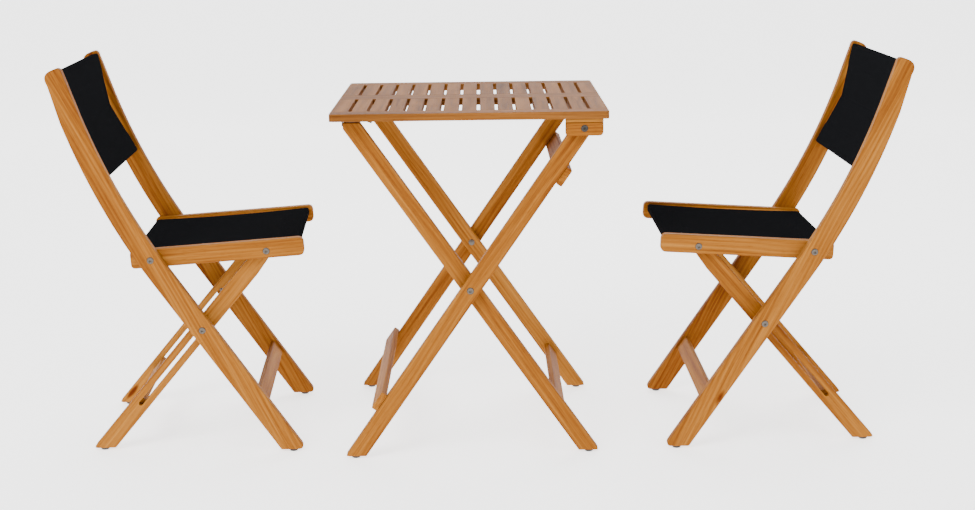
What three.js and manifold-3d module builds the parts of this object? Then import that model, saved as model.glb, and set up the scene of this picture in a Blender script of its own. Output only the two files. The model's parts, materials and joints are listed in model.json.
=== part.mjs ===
// Patio dining set: a folding table with a slatted top, and two folding chairs with sling seats.
// Millimetres, +Z up. The table's legs cross in the X-Z plane, and a chair stands at each X end, facing it.
// Most pieces are flat boards: a side shape drawn as (x, z), given a thickness along Y.
import * as THREE from "three";
import { mergeVertices } from "three/addons/utils/BufferGeometryUtils.js";
import Module from "manifold-3d";

const wasm = await Module();
wasm.setup();

// ---- Driving dimensions: shared ----
const gap = 0.3; // between pieces that touch
const layerGap = 1; // between two members that turn against each other, kept by a washer
const housing = 8; // how far a crossbar's end goes into the member that holds it
const glideHeight = 5; // the part of a glide that shows below the wood
const glideRadius = 9;
const glideStem = 3;
const glideStemLength = 14;
const glideDome = 3; // the dome's rounded edge: in from the rim, and up from the floor
const glideRim = 2;
const boltRadius = 3;
const boltHead = 7;
const boltHeadDepth = 3.5;
const nutRadius = 6;
const nutDepth = 5;
const barCorner = 3; // the radius on a crossbar's long edges
const cutPast = 2; // how far a cutting tool runs past the face it opens

// ---- Driving dimensions: table ----
const tableWidth = 555; // along X
const tableDepth = 600; // along Y
const tableHeight = 720;
const boardThick = 15;
const boardCorner = 9;
const slatWidth = 29.8;
const slotWidth = 7; // between slats
const endBoard = 34; // the least width of the board past the last slot at each end
const frameBoard = 48; // the boards along the near and far edges
const middleBoard = 76; // the board between the two rows of slats
const tableLegWidth = 36;
const innerLegWidth = 35;
const tableLegThick = 22;
const cleatLength = 75;
const cleatHeight = 34;
const cleatThick = 20;
const cleatInset = 5; // from the top's edge to the cleat's outer face
const pivotInset = 49; // from the top's end to the bolt that the top turns on
const legTopGap = 1.5; // from the underside down to the outer leg's round end
const footInset = 29; // from the top's end to the middle of the outer leg's foot
const crossOffset = -2.5; // the legs' crossing, from the middle of the top
const innerTopGap = 8; // from the underside down to the inner legs' ends
const latchReach = 12.5; // from the inner leg's axis to the face that the latch grips, along X
const barWidth = 40; // the outer frame's two crossbars, along the leg
const barThick = 13;
const upperBarDown = 105; // from the top's bolt down the leg to the middle of the upper bar
const lowerBarUp = 132; // from the floor up the leg to the middle of the lower bar
const stretcherWidth = 34; // the inner frame's stretcher, along the leg
const stretcherThick = 14;
const innerStretcherUp = 113; // from the floor up the leg to its middle
const latchThick = 1.6;
const latchWidth = 16;
const latchLip = 15; // how far its lip hangs below the underside
const latchTail = 22; // its tail, which turns down past the leg's end
const latchTailDrop = 8;

// ---- Driving dimensions: chair ----
// Here x is measured forward from the seat bolt, and y from the chair's middle.
const chairWidth = 444; // over the posts
const chairHeight = 813;
const postThick = 21;
const postHalfFoot = 21; // half the post's width at the foot, the seat bolt and the top
const postHalfSeat = 22.5;
const postHalfTop = 20.5;
const postLean = 34.33; // degrees from upright, below the bend
const backLean = 19.3; // degrees from upright, above it
const bendRadius = 1400;
const postTopBack = 22; // the radii of the post's rounded top
const postTopFront = 10;
const postTopDrop = 6; // how far its corners stand below the height
const seatBoltAhead = 3.7; // in front of the post's axis
const bendCorner = 535; // the height where the two straight stretches of the axis would meet
const seatBoltHeight = 417;
const slotBoltHeight = 267;
const railHeight = 38;
const railThick = 21;
const railTilt = 3.5; // degrees, up towards the front
const railFront = 313; // from the seat bolt forward to the rail's end
const railPastRearBar = 18.5; // from the rear bar's middle back to the rail's other end
const legBoltInset = 78; // from the rail's front end back to the rear leg's bolt
const legBoltDrop = 4; // below the rail's middle line
const rearLegWidth = 36;
const rearLegThick = 21;
const legEndRadius = 13.5;
const legEndTaper = 52;
const slotHalf = 4.2;
const slotRun = 218; // how far the slot bolt could travel
const chairBar = 34; // the front stretcher's and rear stretcher's width along the leg
const chairBarThick = 13;
const frontStretcherUp = 132; // from the floor up the post to its middle
const frontStretcherAhead = 10; // in front of the post's axis
const rearStretcherPast = 8; // past the slot's end, down the leg
const slingBar = 34; // the bars that the slings hang on
const slingBarThick = 13;
const slingThick = 2;
const slingSink = 4; // from the rails' top edges down to the sling
const slingSideGap = 3; // from a sling's edge to the frame
const rearBarWidth = 27;
const frontBarInset = 28; // from the rail's front end back to the front bar's middle
const rearBarBehind = 25.5; // from the seat bolt back to the rear bar's middle
const backTopDown = 13.9; // from the post's top down it to the upper end of the back sling's front surface
const backTall = 233.4; // between that surface's two ends, along the post
const backTopAhead = 21.4; // the two ends, in front of the post's axis
const backBottomAhead = 22.3;
const backSag = 17; // how far its middle hangs behind a straight line between them

// ---- Driving dimensions: how the set stands ----
const leftChairAway = 389.5; // from the table's end to each chair's seat bolts
const rightChairAway = 425.5;
const chairsY = -13;
const leftChairTurn = 2.6; // degrees about Z

const rad = THREE.MathUtils.degToRad;
const v2 = (x, z) => new THREE.Vector2(x, z);

// ---- Materials ----
const finish = (color, roughness, metalness = 0) =>
  new THREE.MeshStandardMaterial({ color, roughness, metalness });
const wood = () => finish("#c08a50", 0.55);
const topWood = () => finish("#a98c6c", 0.6);
const cloth = () => finish("#0c0e12", 0.8);
const steel = () => finish("#a8a49c", 0.3, 1);
const blackSteel = () => finish("#1a1816", 0.45, 0.8);
const nylon = () => finish("#15110f", 0.5);

// ---- Shapes ----
// A closed outline from corners [x, z, radius], each corner with a radius rounded off.
function outline(corners) {
  const shape = new THREE.Shape();
  const n = corners.length;
  const point = (i) => v2(corners[(i + n) % n][0], corners[(i + n) % n][1]);
  for (let i = 0; i < n; i++) {
    const here = point(i);
    const before = point(i - 1).sub(here);
    const after = point(i + 1).sub(here);
    const turn = before.angleTo(after);
    const reach = (corners[i][2] || 0) / Math.tan(turn / 2);
    const start = here.clone().add(before.setLength(reach));
    const end = here.clone().add(after.setLength(reach));
    if (i === 0) shape.moveTo(start.x, start.y);
    else shape.lineTo(start.x, start.y);
    if (reach > 0) shape.quadraticCurveTo(here.x, here.y, end.x, end.y);
  }
  shape.closePath();
  return shape;
}

// A rectangle with rounded corners, its length along a direction that leans from upright towards -X.
function leaningBar({ x, z, lean }, length, width, radius) {
  const along = v2(-Math.sin(rad(lean)), Math.cos(rad(lean)));
  const across = v2(along.y, -along.x);
  const corner = (a, c) => [
    x + along.x * a + across.x * c,
    z + along.y * a + across.y * c,
    radius,
  ];
  const a = length / 2;
  const c = width / 2;
  return outline([corner(-a, -c), corner(-a, c), corner(a, c), corner(a, -c)]);
}

// An (x, z) shape given a thickness along Y, from yLow to yHigh.
function plate(shape, yLow, yHigh, curveSegments = 4) {
  const g = new THREE.ExtrudeGeometry(shape, {
    depth: yHigh - yLow,
    bevelEnabled: false,
    curveSegments,
  });
  return g.rotateX(Math.PI / 2).translate(0, yHigh, 0);
}

// A turned piece on an axis along Y through (x, z), from its [radius, y] profile.
function turned(profile, x, z, segments = 20) {
  const points = profile.map(([r, y]) => v2(r, y));
  return new THREE.LatheGeometry(points, segments).translate(x, 0, z);
}

const pin = (radius, x, z, yLow, yHigh, segments = 16) =>
  turned([[0, yLow], [radius, yLow], [radius, yHigh], [0, yHigh]], x, z, segments);

// ---- Booleans ----
function toSolid(geometry) {
  const g = geometry.clone();
  g.deleteAttribute("normal");
  g.deleteAttribute("uv");
  const merged = mergeVertices(g, 1e-3);
  return new wasm.Manifold(
    new wasm.Mesh({
      numProp: 3,
      vertProperties: merged.attributes.position.array,
      triVerts: new Uint32Array(merged.index.array),
    }),
  );
}

function toGeometry(solid) {
  const m = solid.getMesh();
  const g = new THREE.BufferGeometry();
  g.setAttribute("position", new THREE.BufferAttribute(new Float32Array(m.vertProperties), 3));
  g.setIndex(new THREE.BufferAttribute(new Uint32Array(m.triVerts), 1));
  g.computeVertexNormals();
  return g;
}

const cut = (geometry, tools) =>
  toGeometry(tools.reduce((solid, tool) => solid.subtract(toSolid(tool)), toSolid(geometry)));

function add(group, name, geometry, material) {
  const piece = new THREE.Mesh(geometry, material);
  piece.name = name;
  group.add(piece);
}

// The Y range of a layer on one side: outer and inner are distances from the middle plane.
const layer = (side, outer, inner) =>
  side < 0 ? [-outer, -inner] : [inner, outer];

// ---- Fasteners and glides ----
// A bolt with a low round head at yHead and a barrel nut at yNut, both sunk flush.
function bolt(x, z, yHead, yNut) {
  const s = Math.sign(yNut - yHead);
  const profile = [
    [0, yHead],
    [boltHead - 1.2, yHead],
    [boltHead, yHead + s * 0.8],
    [boltHead, yHead + s * boltHeadDepth],
    [boltRadius, yHead + s * boltHeadDepth],
    [boltRadius, yNut - s * nutDepth],
    [nutRadius, yNut - s * nutDepth],
    [nutRadius, yNut],
    [0, yNut],
  ];
  return turned(s > 0 ? profile : profile.reverse(), x, z);
}

// The hole that takes such a bolt: a clear bore, with a wider one at each end.
function boltHole(x, z, yHead, yNut) {
  const s = Math.sign(yNut - yHead);
  const span = (a, b) => [Math.min(a, b), Math.max(a, b)];
  const bore = (radius, a, b) => pin(radius, x, z, ...span(a, b), 20);
  return [
    bore(boltRadius + gap, yHead, yNut),
    bore(boltHead + gap, yHead - s * cutPast, yHead + s * (boltHeadDepth + gap)),
    bore(nutRadius + gap, yNut - s * (nutDepth + gap), yNut + s * cutPast),
  ];
}

// A nylon glide under a foot: a low dome on the floor, with a stem up into the wood.
function glide(x, y) {
  const profile = [
    [0, 0],
    [glideRadius - glideDome, 0],
    [glideRadius, glideRim],
    [glideRadius, glideHeight - gap],
    [glideStem, glideHeight - gap],
    [glideStem, glideHeight + glideStemLength],
    [0, glideHeight + glideStemLength],
  ];
  const points = profile.map(([r, z]) => v2(r, z));
  return new THREE.LatheGeometry(points, 16).rotateX(Math.PI / 2).translate(x, y, 0);
}

function glideHole(x, y) {
  const length = glideStemLength + gap + cutPast;
  const stem = new THREE.CylinderGeometry(glideStem + gap, glideStem + gap, length, 16);
  return stem.rotateX(Math.PI / 2).translate(x, y, glideHeight - cutPast + length / 2);
}

// ---- Table ----
const halfWidth = tableWidth / 2;
const halfDepth = tableDepth / 2;
const underside = tableHeight - boardThick;
const topPivot = v2(halfWidth - pivotInset, underside - legTopGap - tableLegWidth / 2);
const outerFoot = v2(-(halfWidth - footInset), 0);
const legSlope = (topPivot.x - outerFoot.x) / topPivot.y; // x per unit of height
const legLean = THREE.MathUtils.radToDeg(Math.atan(legSlope));
const crossing = v2(crossOffset, (crossOffset - outerFoot.x) / legSlope);
const cosLeg = Math.cos(rad(legLean));
const sinLeg = Math.sin(rad(legLean));
const cleatOuter = halfDepth - cleatInset;
const outerLegOuter = cleatOuter - cleatThick - layerGap;
const outerLegInner = outerLegOuter - tableLegThick;
const innerLegOuter = outerLegInner - layerGap;
const innerLegInner = innerLegOuter - tableLegThick;

// The x of a leg's axis at a height; side is 1 for the outer frame and -1 for the inner one.
const legX = (side, z) => crossing.x + side * legSlope * (z - crossing.y);

function tableTop() {
  const board = outline([
    [-halfWidth, -halfDepth, boardCorner],
    [halfWidth, -halfDepth, boardCorner],
    [halfWidth, halfDepth, boardCorner],
    [-halfWidth, halfDepth, boardCorner],
  ]);
  const rowStart = middleBoard / 2;
  const rowEnd = halfDepth - frameBoard;
  const slotPitch = slatWidth + slotWidth;
  const slotCount = Math.floor((tableWidth - 2 * endBoard + slatWidth) / slotPitch);
  const blank = new THREE.ExtrudeGeometry(board, {
    depth: boardThick,
    bevelEnabled: false,
    curveSegments: 4,
  }).translate(0, 0, underside);
  const slots = [];
  for (let i = 0; i < slotCount; i++)
    for (const side of [-1, 1]) {
      const slot = new THREE.BoxGeometry(slotWidth, rowEnd - rowStart, 2 * boardThick);
      const x = (i - (slotCount - 1) / 2) * slotPitch;
      slots.push(slot.translate(x, (side * (rowEnd + rowStart)) / 2, tableHeight - boardThick / 2));
    }
  return cut(blank, slots);
}

// The outer leg runs from a level foot to a round end on the bolt that the top turns on.
function outerLegShape() {
  const half = tableLegWidth / 2;
  const spread = half / cosLeg;
  const shape = new THREE.Shape();
  shape.moveTo(legX(1, glideHeight) - spread, glideHeight);
  shape.lineTo(legX(1, glideHeight) + spread, glideHeight);
  shape.lineTo(topPivot.x + half * cosLeg, topPivot.y - half * sinLeg);
  shape.absarc(topPivot.x, topPivot.y, half, -rad(legLean), Math.PI - rad(legLean), false);
  shape.closePath();
  return shape;
}

// The inner leg ends level under the top, with one corner cut upright for the latch.
const innerTop = underside - innerTopGap;
const latchFace = legX(-1, innerTop) - latchReach;
function innerLegShape() {
  const spread = innerLegWidth / 2 / cosLeg;
  const cornerHeight = innerTop - (spread - latchReach) / legSlope;
  return outline([
    [legX(-1, glideHeight) - spread, glideHeight],
    [legX(-1, glideHeight) + spread, glideHeight],
    [legX(-1, innerTop) + spread, innerTop, 1],
    [latchFace, innerTop, 2],
    [latchFace, cornerHeight],
  ]);
}

// A crossbar on the outer legs' edges, at a distance along the leg; side 1 is the lower edge.
function edgeBar(z, side) {
  const off = side * (tableLegWidth / 2 + gap + barThick / 2);
  const place = { x: legX(1, z) + off * cosLeg, z: z - off * sinLeg, lean: -legLean };
  return plate(leaningBar(place, barWidth, barThick, barCorner), -outerLegOuter, outerLegOuter);
}

// The latch: a spring strip screwed under the top, which grips the inner leg's end.
function latch(side) {
  const y = side * (innerLegOuter - tableLegThick / 2);
  const top = underside - gap;
  const low = top - latchThick;
  const lip = latchFace - gap;
  const spread = innerLegWidth / 2 / cosLeg;
  const tail = legX(-1, innerTop) + spread + 2;
  const shape = outline([
    [lip - latchThick, top],
    [lip - latchThick, top - latchLip],
    [lip, top - latchLip],
    [lip, low],
    [tail, low],
    [tail + latchTail, low - latchTailDrop],
    [tail + latchTail, low - latchTailDrop + latchThick],
    [tail, top],
  ]);
  return plate(shape, y - latchWidth / 2, y + latchWidth / 2);
}

const innerStretcherZ = innerStretcherUp * cosLeg;
const innerStretcher = { x: legX(-1, innerStretcherZ), z: innerStretcherZ, lean: legLean };
const housed = (place, width, thick, halfSpan) =>
  plate(leaningBar(place, width, thick, barCorner), -halfSpan, halfSpan);
const housingFor = (place, width, thick, halfSpan) =>
  housed(place, width + 2 * gap, thick + 2 * gap, halfSpan + gap);

const table = new THREE.Group();
const sides = [[-1, "near"], [1, "far"]];
add(table, "table_top", tableTop(), topWood());
for (const [side, name] of sides) {
  const [cleatLow, cleatHigh] = layer(side, cleatOuter, cleatOuter - cleatThick);
  const cleatTop = underside - gap;
  const cleatEnd = topPivot.x + cleatLength / 2;
  const cleatShape = outline([
    [cleatEnd - cleatLength, cleatTop - cleatHeight, 3],
    [cleatEnd, cleatTop - cleatHeight, 5],
    [cleatEnd, cleatTop],
    [cleatEnd - cleatLength, cleatTop],
  ]);
  const cleatBolt = [topPivot.x, topPivot.y, side * cleatOuter, side * outerLegInner];
  const crossBolt = [crossing.x, crossing.y, side * outerLegOuter, side * innerLegInner];
  const cleat = cut(plate(cleatShape, cleatLow, cleatHigh), boltHole(...cleatBolt));
  add(table, `table_cleat_${name}`, cleat, wood());
  const outerMiddle = side * (outerLegOuter - tableLegThick / 2);
  const outerLeg = plate(outerLegShape(), ...layer(side, outerLegOuter, outerLegInner), 16);
  const outerGlide = [legX(1, glideHeight), outerMiddle];
  const outerCuts = [...boltHole(...cleatBolt), ...boltHole(...crossBolt), glideHole(...outerGlide)];
  add(table, `table_outer_leg_${name}`, cut(outerLeg, outerCuts), wood());
  const innerMiddle = side * (innerLegOuter - tableLegThick / 2);
  const innerLeg = plate(innerLegShape(), ...layer(side, innerLegOuter, innerLegInner));
  const innerGlide = [legX(-1, glideHeight), innerMiddle];
  const innerCuts = [
    ...boltHole(...crossBolt),
    glideHole(...innerGlide),
    housingFor(innerStretcher, stretcherWidth, stretcherThick, innerLegInner + housing),
  ];
  add(table, `table_inner_leg_${name}`, cut(innerLeg, innerCuts), wood());
  add(table, `table_latch_${name}`, latch(side), blackSteel());
  add(table, `table_cross_bolt_${name}`, bolt(...crossBolt), steel());
  add(table, `table_cleat_bolt_${name}`, bolt(...cleatBolt), blackSteel());
  add(table, `table_outer_glide_${name}`, glide(...outerGlide), nylon());
  add(table, `table_inner_glide_${name}`, glide(...innerGlide), nylon());
}
add(table, "table_upper_bar", edgeBar(topPivot.y - upperBarDown * cosLeg, 1), wood());
add(table, "table_lower_bar", edgeBar(lowerBarUp * cosLeg, -1), wood());
add(table, "table_inner_stretcher",
  housed(innerStretcher, stretcherWidth, stretcherThick, innerLegInner + housing), wood());

// ---- Chair ----
const postOuter = chairWidth / 2;
const postInner = postOuter - postThick;
const railOuter = postInner - layerGap;
const railInner = railOuter - railThick;
const legOuter = railInner - layerGap;
const legInner = legOuter - rearLegThick;

// The post's axis: straight at postLean, an arc, then straight at backLean.
const postFoot = seatBoltHeight * Math.tan(rad(postLean)) - seatBoltAhead; // its x at the floor
const bendTurn = rad(postLean - backLean);
const bendReach = bendRadius * Math.tan(bendTurn / 2);
const cornerX = postFoot - bendCorner * Math.tan(rad(postLean));
const up = (degrees) => v2(-Math.sin(rad(degrees)), Math.cos(rad(degrees)));
const bendStart = v2(cornerX, bendCorner).addScaledVector(up(postLean), -bendReach);
const bendEnd = v2(cornerX, bendCorner).addScaledVector(up(backLean), bendReach);
const postTop = bendEnd.clone();
postTop.addScaledVector(up(backLean), (chairHeight - bendEnd.y) / Math.cos(rad(backLean)));
const postBend = 14; // steps along the arc

// Points of the axis from the foot to the top, each with its lean in degrees.
function postAxis() {
  const points = [{ at: v2(postFoot, 0), lean: postLean }];
  for (let i = 0; i <= postBend; i++) {
    const lean = postLean - (i / postBend) * (postLean - backLean);
    const side = v2(Math.cos(rad(lean)), Math.sin(rad(lean)));
    const first = v2(Math.cos(rad(postLean)), Math.sin(rad(postLean)));
    const centre = bendStart.clone().addScaledVector(first, bendRadius);
    const at = centre.addScaledVector(side, -bendRadius);
    points.push({ at, lean });
  }
  points.push({ at: postTop, lean: backLean });
  return points;
}

// Half the post's width at a height.
function postHalf(z) {
  const t = (z - seatBoltHeight) / (chairHeight - seatBoltHeight);
  const low = postHalfFoot + ((postHalfSeat - postHalfFoot) * z) / seatBoltHeight;
  return z < seatBoltHeight ? low : postHalfSeat + (postHalfTop - postHalfSeat) * t;
}

// The post's side shape: its two edges from the axis, a level foot and a rounded top.
function postShape() {
  const axis = postAxis();
  const edge = (side) =>
    axis.map(({ at, lean }) => {
      const off = side * postHalf(at.y);
      return [at.x + off * Math.cos(rad(lean)), at.y + off * Math.sin(rad(lean))];
    });
  const front = edge(1);
  const back = edge(-1);
  const level = (line, z) => {
    const [a, b] = line;
    return a[0] + ((b[0] - a[0]) * (z - a[1])) / (b[1] - a[1]);
  };
  front[0] = [level(front, glideHeight), glideHeight, 9];
  back[0] = [level(back, glideHeight), glideHeight, 5];
  const last = front.length - 1;
  const crown = up(backLean);
  const lowered = ([x, z], radius) => [x - crown.x * postTopDrop, z - crown.y * postTopDrop, radius];
  front[last] = lowered(front[last], postTopFront);
  back[last] = lowered(back[last], postTopBack);
  return outline([...front, ...back.reverse()]);
}

const seatBolt = v2(0, seatBoltHeight);
const tilt = rad(railTilt);
// A point in the seat's own directions: along the rail from the seat bolt, and up from its middle line.
const seatAt = (along, rise) =>
  v2(
    seatBolt.x + along * Math.cos(tilt) - rise * Math.sin(tilt),
    seatBolt.y + along * Math.sin(tilt) + rise * Math.cos(tilt),
  );
const legBolt = seatAt(railFront - legBoltInset, -legBoltDrop);
const slotBolt = v2(postFoot - slotBoltHeight * Math.tan(rad(postLean)), slotBoltHeight);
const legDown = slotBolt.clone().sub(legBolt).normalize(); // down the rear leg
const legAcross = v2(-legDown.y, legDown.x); // towards the front
const legAt = (along, across) =>
  legBolt.clone().addScaledVector(legDown, along).addScaledVector(legAcross, across);
const rearLegLength = (legBolt.y - glideHeight) / -legDown.y;
const slotStart = legBolt.distanceTo(slotBolt);
const rearLegLean = THREE.MathUtils.radToDeg(Math.atan2(legDown.x, legDown.y));

function railShape() {
  const h = railHeight / 2;
  const railRear = rearBarBehind + railPastRearBar;
  const corner = (along, rise, radius) => [...seatAt(along, rise).toArray(), radius];
  return outline([
    corner(-railRear, -h, 7),
    corner(railFront, -h, 7),
    corner(railFront, h, 8),
    corner(-railRear, h, 7),
  ]);
}

// The rear leg: a round end on its bolt, its full width a little below, and a level foot.
function rearLegShape() {
  const half = rearLegWidth / 2;
  const level = (across) => {
    const p = legAt(0, across);
    return p.x + (legDown.x * (glideHeight - p.y)) / legDown.y;
  };
  const shape = new THREE.Shape();
  const start = Math.atan2(legAcross.y, legAcross.x);
  shape.moveTo(...legAt(0, legEndRadius).toArray());
  shape.absarc(legBolt.x, legBolt.y, legEndRadius, start, start + Math.PI, false);
  shape.lineTo(...legAt(legEndTaper, -half).toArray());
  shape.lineTo(level(-half), glideHeight);
  shape.lineTo(level(half), glideHeight);
  shape.lineTo(...legAt(legEndTaper, half).toArray());
  shape.closePath();
  return shape;
}

// The slot that the post's bolt slides along, with a round end about each end of its travel.
function legSlot() {
  const shape = new THREE.Shape();
  const from = legAt(slotStart, 0);
  const to = legAt(slotStart + slotRun, 0);
  const start = Math.atan2(legAcross.y, legAcross.x);
  shape.absarc(from.x, from.y, slotHalf, start, start + Math.PI, false);
  shape.absarc(to.x, to.y, slotHalf, start + Math.PI, start + 2 * Math.PI, false);
  shape.closePath();
  return plate(shape, -postOuter, postOuter, 8);
}

// A sling: cloth along a line of points, turned back at each end round a bar that lies behind it.
// bars gives the place and width of the bar at the line's start and at its end.
const behind = (way) => v2(-way.y, way.x);
const pocketWall = slingThick + gap; // from a bar's face to the cloth's outer face
function sling(line, bars, halfSpan) {
  const [start, end] = [line[0], line[line.length - 1]];
  const away = line[1].clone().sub(start).normalize();
  const home = end.clone().sub(line[line.length - 2]).normalize();
  const between = away.clone().add(home).normalize();
  const at = (point, way, along, deep) =>
    point.clone().addScaledVector(way, along).addScaledVector(behind(way), deep).toArray();
  const deep = slingBarThick + 2 * pocketWall;
  const [startWide, endWide] = bars.map(([, width]) => width + 2 * pocketWall);
  const radius = barCorner + slingThick;
  const creases = line.slice(1, -1);
  const shape = outline([
    [...at(start, away, 0, 0), radius],
    ...creases.map((point) => point.toArray()),
    [...at(end, home, 0, 0), radius],
    [...at(end, home, 0, deep), radius],
    [...at(end, home, -endWide, deep), radius],
    at(end, home, -endWide, slingThick),
    ...creases.map((point) => at(point, between, 0, slingThick)).reverse(),
    at(start, away, startWide, slingThick),
    [...at(start, away, startWide, deep), radius],
    [...at(start, away, 0, deep), radius],
  ]);
  for (const [place, width] of bars)
    shape.holes.push(leaningBar(place, width + 2 * gap, slingBarThick + 2 * gap, barCorner));
  return plate(shape, -halfSpan, halfSpan);
}

const seatBarRise = railHeight / 2 - slingSink - pocketWall - slingBarThick / 2;
const seatBarPlace = (along) => {
  const p = seatAt(along, seatBarRise);
  return { x: p.x, z: p.y, lean: railTilt - 90 };
};
const frontBar = seatBarPlace(railFront - frontBarInset);
const rearBar = seatBarPlace(-rearBarBehind);
const slingHalf = railInner - slingSideGap;
const backHalf = postInner - slingSideGap;

function seatSling() {
  const top = railHeight / 2 - slingSink;
  const frontEnd = railFront - frontBarInset + slingBar / 2 + pocketWall;
  const rearEnd = -rearBarBehind - rearBarWidth / 2 - pocketWall;
  const bars = [[frontBar, slingBar], [rearBar, rearBarWidth]];
  return sling([seatAt(frontEnd, top), seatAt(rearEnd, top)], bars, slingHalf);
}

// The back sling's front surface: two straight halves that meet in a crease at mid height.
const postAhead = v2(Math.cos(rad(backLean)), Math.sin(rad(backLean)));
const slingTop = postTop.clone()
  .addScaledVector(up(backLean), -backTopDown)
  .addScaledVector(postAhead, backTopAhead);
const slingBottom = postTop.clone()
  .addScaledVector(up(backLean), -backTopDown - backTall)
  .addScaledVector(postAhead, backBottomAhead);
const slingCrease = slingTop
  .clone()
  .lerp(slingBottom, 0.5)
  .addScaledVector(behind(slingTop.clone().sub(slingBottom).normalize()), backSag);
const upperHalf = slingTop.clone().sub(slingCrease).normalize();
const lowerHalf = slingCrease.clone().sub(slingBottom).normalize();

// A back bar lies behind one end of the front surface, in line with that half.
function backBar(end, upward, inward) {
  const at = end
    .clone()
    .addScaledVector(upward, inward * (slingBar / 2 + pocketWall))
    .addScaledVector(behind(upward), slingBarThick / 2 + pocketWall);
  return { x: at.x, z: at.y, lean: THREE.MathUtils.radToDeg(Math.atan2(-upward.x, upward.y)) };
}
const backTopBar = backBar(slingTop, upperHalf, -1);
const backBottomBar = backBar(slingBottom, lowerHalf, 1);

const backBars = [[backBottomBar, slingBar], [backTopBar, slingBar]];
const backSling = () => sling([slingBottom, slingCrease, slingTop], backBars, backHalf);

const postPlace = (along, ahead) => {
  const z = along * Math.cos(rad(postLean));
  const x = postFoot - z * Math.tan(rad(postLean));
  return {
    x: x + ahead * Math.cos(rad(postLean)),
    z: z + ahead * Math.sin(rad(postLean)),
    lean: postLean,
  };
};
const frontStretcher = postPlace(frontStretcherUp, frontStretcherAhead);
const rearStretcherAt = legAt(slotStart + slotRun + rearStretcherPast, 0);
const rearStretcher = { x: rearStretcherAt.x, z: rearStretcherAt.y, lean: rearLegLean };

// One chair; names gives the name of the side at -y and of the side at +y.
function chair(prefix, names) {
  const group = new THREE.Group();
  const crossbars = [
    ["back_top_bar", backTopBar, slingBar, slingBarThick, postInner],
    ["back_bottom_bar", backBottomBar, slingBar, slingBarThick, postInner],
    ["front_stretcher", frontStretcher, chairBar, chairBarThick, postInner],
    ["seat_front_bar", frontBar, slingBar, slingBarThick, railInner],
    ["seat_rear_bar", rearBar, rearBarWidth, slingBarThick, railInner],
    ["rear_stretcher", rearStretcher, chairBar, chairBarThick, legInner],
  ];
  for (const [name, place, width, thick, inner] of crossbars)
    add(group, `${prefix}_${name}`, housed(place, width, thick, inner + housing), wood());
  const housingsAt = (inner) =>
    crossbars
      .filter((bar) => bar[4] === inner)
      .map(([, place, width, thick]) => housingFor(place, width, thick, inner + housing));
  for (const side of [-1, 1]) {
    const name = names[(side + 1) / 2];
    const middle = (outer, inner) => (side * (outer + inner)) / 2;
    const bolted = [seatBolt.x, seatBolt.y, side * postOuter, side * railInner];
    const postGlide = [postFoot - glideHeight * Math.tan(rad(postLean)), middle(postOuter, postInner)];
    const foot = legAt(rearLegLength, 0);
    const rearGlide = [foot.x, middle(legOuter, legInner)];
    const post = plate(postShape(), ...layer(side, postOuter, postInner));
    const postCuts = [...boltHole(...bolted), ...housingsAt(postInner), glideHole(...postGlide)];
    add(group, `${prefix}_post_${name}`, cut(post, postCuts), wood());
    const rail = plate(railShape(), ...layer(side, railOuter, railInner));
    const railCuts = [...boltHole(...bolted), ...housingsAt(railInner)];
    add(group, `${prefix}_seat_rail_${name}`, cut(rail, railCuts), wood());
    const leg = plate(rearLegShape(), ...layer(side, legOuter, legInner), 12);
    const legCuts = [legSlot(), ...housingsAt(legInner), glideHole(...rearGlide)];
    add(group, `${prefix}_rear_leg_${name}`, cut(leg, legCuts), wood());
    add(group, `${prefix}_seat_bolt_${name}`, bolt(...bolted), steel());
    add(group, `${prefix}_post_glide_${name}`, glide(...postGlide), nylon());
    add(group, `${prefix}_rear_glide_${name}`, glide(...rearGlide), nylon());
  }
  add(group, `${prefix}_seat_sling`, seatSling(), cloth());
  add(group, `${prefix}_back_sling`, backSling(), cloth());
  return group;
}

// ---- The set: origin on the floor, under the middle of the whole set's box ----
const leftChair = chair("left_chair", ["near", "far"]);
leftChair.position.set(-halfWidth - leftChairAway, chairsY, 0);
leftChair.rotation.z = rad(leftChairTurn);
const rightChair = chair("right_chair", ["far", "near"]);
rightChair.position.set(halfWidth + rightChairAway, chairsY, 0);
rightChair.rotation.z = Math.PI;

const set = new THREE.Group();
set.add(table, leftChair, rightChair);
set.updateMatrixWorld(true);
const box = new THREE.Box3().setFromObject(set);
set.position.set(-(box.min.x + box.max.x) / 2, -(box.min.y + box.max.y) / 2, 0);

const group = new THREE.Group();
group.add(set);
export default group;
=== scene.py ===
"""Patio dining set: a folding slatted table and two folding chairs with mesh slings."""

import json
import math

import bpy
import numpy as np
from mathutils import Matrix, Vector
from mathutils.geometry import tessellate_polygon

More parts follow.
